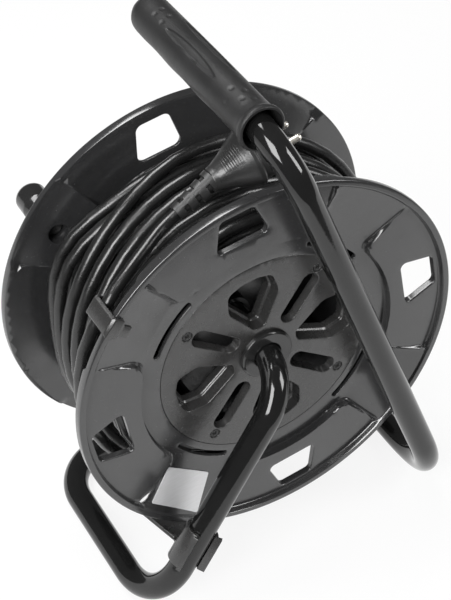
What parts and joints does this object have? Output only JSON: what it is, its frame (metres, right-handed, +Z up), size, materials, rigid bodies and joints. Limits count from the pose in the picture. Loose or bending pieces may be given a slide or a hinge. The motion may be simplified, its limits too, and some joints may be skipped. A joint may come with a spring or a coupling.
{
  "type": "extension cord reel",
  "caption": "Extension cord reel: wound drum with windowed flanges and covered outlets, spinning on one bent steel tube that is axle, floor stand and handle; plug on a short lead",
  "frame": {"origin": "on the floor, under the middle of the reel's box without its free cord", "axes": "+Z up, +X to the right and +Y away from the near side, along the drum's axle"},
  "size_m": [0.2972, 0.2066, 0.4003],
  "materials": {
    "enamel_tube": "gloss black enamel on bent steel tube",
    "grip_rubber": "matte moulded black rubber",
    "zinc_steel": "zinc plated",
    "black_screw": "blackened steel screws",
    "drum_plastic": "smooth moulded dark grey plastic",
    "fitting_plastic": "satin moulded dark grey plastic",
    "gloss_fitting": "glossy black plastic",
    "reset_red": "satin red plastic",
    "label_foil": "plain silver label film",
    "cord_pvc": "semi-gloss black cord sheath",
    "plug_pvc": "soft black moulded plug",
    "nickel": "nickel plated pins"
  },
  "bodies": {
    "stand": {"frame_tube": "enamel_tube", "handle_grip": "grip_rubber", "rim_guide": "fitting_plastic", "axle_plug": "zinc_steel", "axle_washer": "zinc_steel", "axle_screw": "zinc_steel"},
    "drum": {"near_flange": "drum_plastic", "hub_cover": "fitting_plastic", "hub_boss": "gloss_fitting", "drum_barrel": "drum_plastic", "far_flange": "drum_plastic", "socket_plate": "fitting_plastic", "cover_screw_1": "black_screw", "plate_screw_1": "black_screw", "socket_1": "fitting_plastic", "lid_pin_1": "zinc_steel", "cover_screw_2": "black_screw", "plate_screw_2": "black_screw", "socket_2": "fitting_plastic", "lid_pin_2": "zinc_steel", "cover_screw_3": "black_screw", "plate_screw_3": "black_screw", "socket_3": "fitting_plastic", "lid_pin_3": "zinc_steel", "cover_screw_4": "black_screw", "plate_screw_4": "black_screw", "socket_4": "fitting_plastic", "lid_pin_4": "zinc_steel", "cutout_switch": "fitting_plastic", "cutout_collar": "fitting_plastic", "crank_pin": "fitting_plastic", "cord_clip": "fitting_plastic", "label": "label_foil", "cord_core": "cord_pvc", "cord_turns": "cord_pvc", "cord_lead": "cord_pvc", "plug_strain_relief": "plug_pvc", "plug_body": "plug_pvc", "plug_pin_1": "nickel", "plug_pin_2": "nickel"},
    "crank": {"crank_knob": "gloss_fitting"},
    "reset_button": {"cutout_button": "reset_red"},
    "lid_1": {"socket_lid_1": "fitting_plastic"},
    "lid_2": {"socket_lid_2": "fitting_plastic"},
    "lid_3": {"socket_lid_3": "fitting_plastic"},
    "lid_4": {"socket_lid_4": "fitting_plastic"}
  },
  "joints": [
    {"name": "drum_spin", "type": "hinge", "parent": "stand", "child": "drum", "pos_m": [-0.004, -0.005, 0.1903], "axis": [0, 1, 0], "continuous": true},
    {"name": "crank_spin", "type": "hinge", "parent": "drum", "child": "crank", "pos_m": [-0.10394, 0.085, 0.25397], "axis": [0, 1, 0], "continuous": true},
    {"name": "cutout_press", "type": "slide", "parent": "drum", "child": "reset_button", "axis": [0, -1, 0], "range_m": [0, 0.0025], "stiffness_N_per_m": 600, "springref_m": -0.001},
    {"name": "lid_1_open", "type": "hinge", "parent": "drum", "child": "lid_1", "pos_m": [0.06756, 0.0558, 0.20421], "axis": [0.1908, 0, -0.9816], "range_deg": [0, 100], "stiffness_Nm_per_rad": 0.02, "springref_deg": -34.38},
    {"name": "lid_2_open", "type": "hinge", "parent": "drum", "child": "lid_2", "pos_m": [-0.01791, 0.0558, 0.26186], "axis": [0.9816, 0, 0.1908], "range_deg": [0, 100], "stiffness_Nm_per_rad": 0.02, "springref_deg": -34.38},
    {"name": "lid_3_open", "type": "hinge", "parent": "drum", "child": "lid_3", "pos_m": [-0.07556, 0.0558, 0.17639], "axis": [-0.1908, 0, 0.9816], "range_deg": [0, 100], "stiffness_Nm_per_rad": 0.02, "springref_deg": -34.38},
    {"name": "lid_4_open", "type": "hinge", "parent": "drum", "child": "lid_4", "pos_m": [0.00991, 0.0558, 0.11874], "axis": [-0.9816, 0, -0.1908], "range_deg": [0, 100], "stiffness_Nm_per_rad": 0.02, "springref_deg": -34.38}
  ]
}
